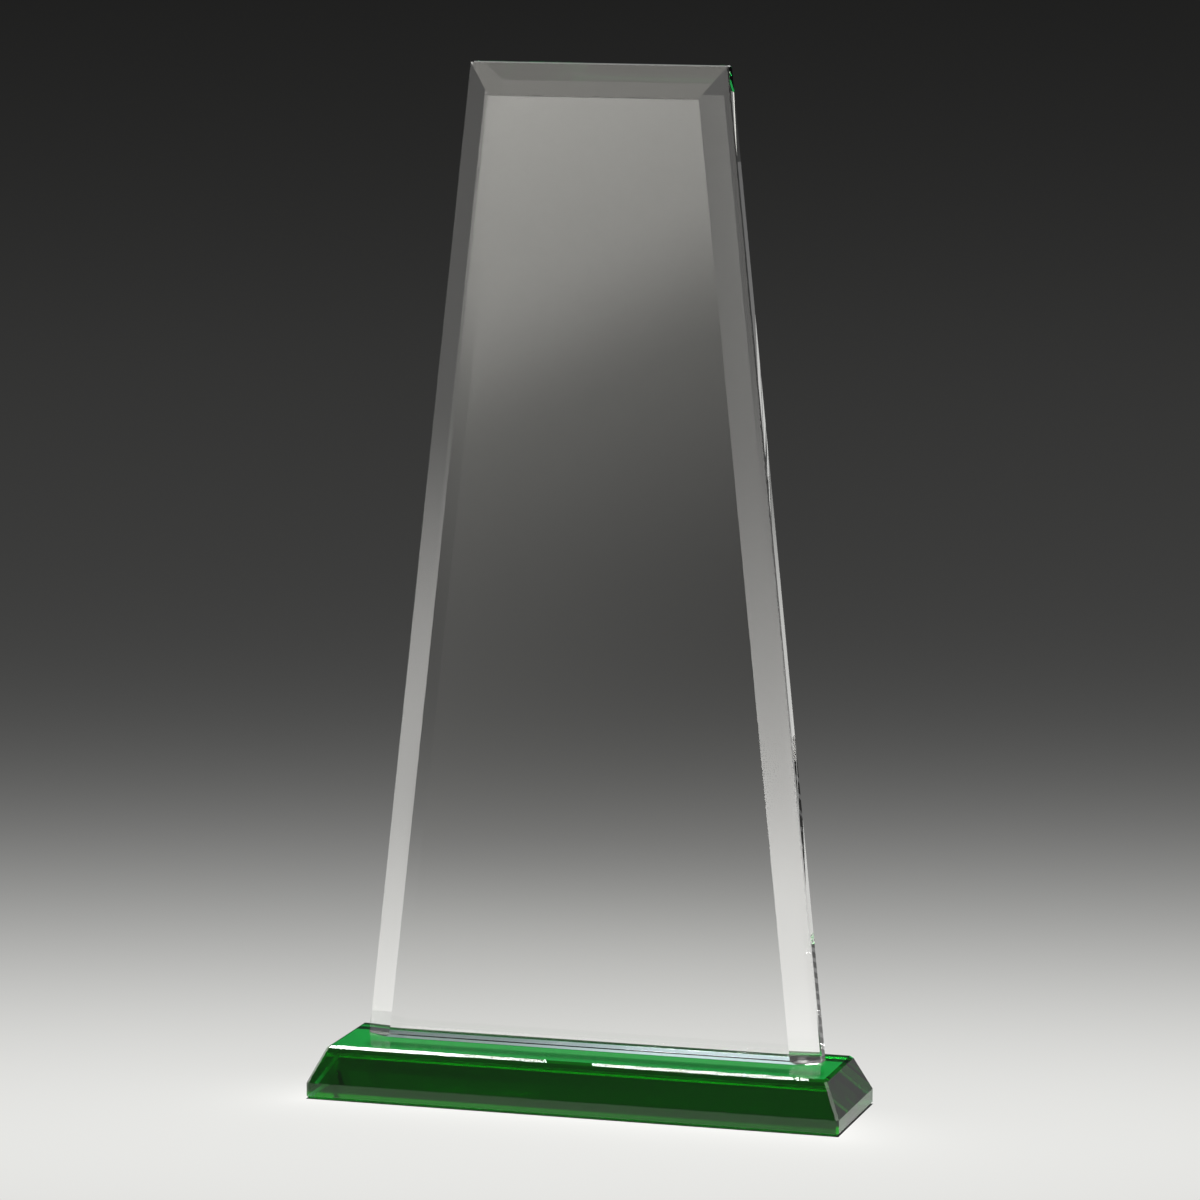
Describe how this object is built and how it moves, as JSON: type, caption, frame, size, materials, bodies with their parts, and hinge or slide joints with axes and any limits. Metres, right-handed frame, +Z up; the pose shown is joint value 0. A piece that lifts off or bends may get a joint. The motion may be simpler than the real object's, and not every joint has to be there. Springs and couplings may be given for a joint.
{
  "type": "crystal award",
  "caption": "Tapered clear crystal plate with bevelled sides and top, bonded upright on a low green crystal base with sloping sides.",
  "frame": {"origin": "centre of the green base's underside, which stands on the table", "axes": "+Z up; X along the base, +X to the right of someone facing the award; +Y away from that person, so the plate's bevelled face looks towards -Y"},
  "size_m": [0.159, 0.043, 0.3],
  "materials": {
    "green_crystal": "polished optical crystal, deep green right through",
    "clear_adhesive": "clear cured acrylic adhesive",
    "clear_crystal": "polished optical crystal, colourless"
  },
  "bodies": {
    "root": {"green_crystal_base": "green_crystal", "adhesive_film": "clear_adhesive", "clear_crystal_plate": "clear_crystal"}
  },
  "joints": []
}
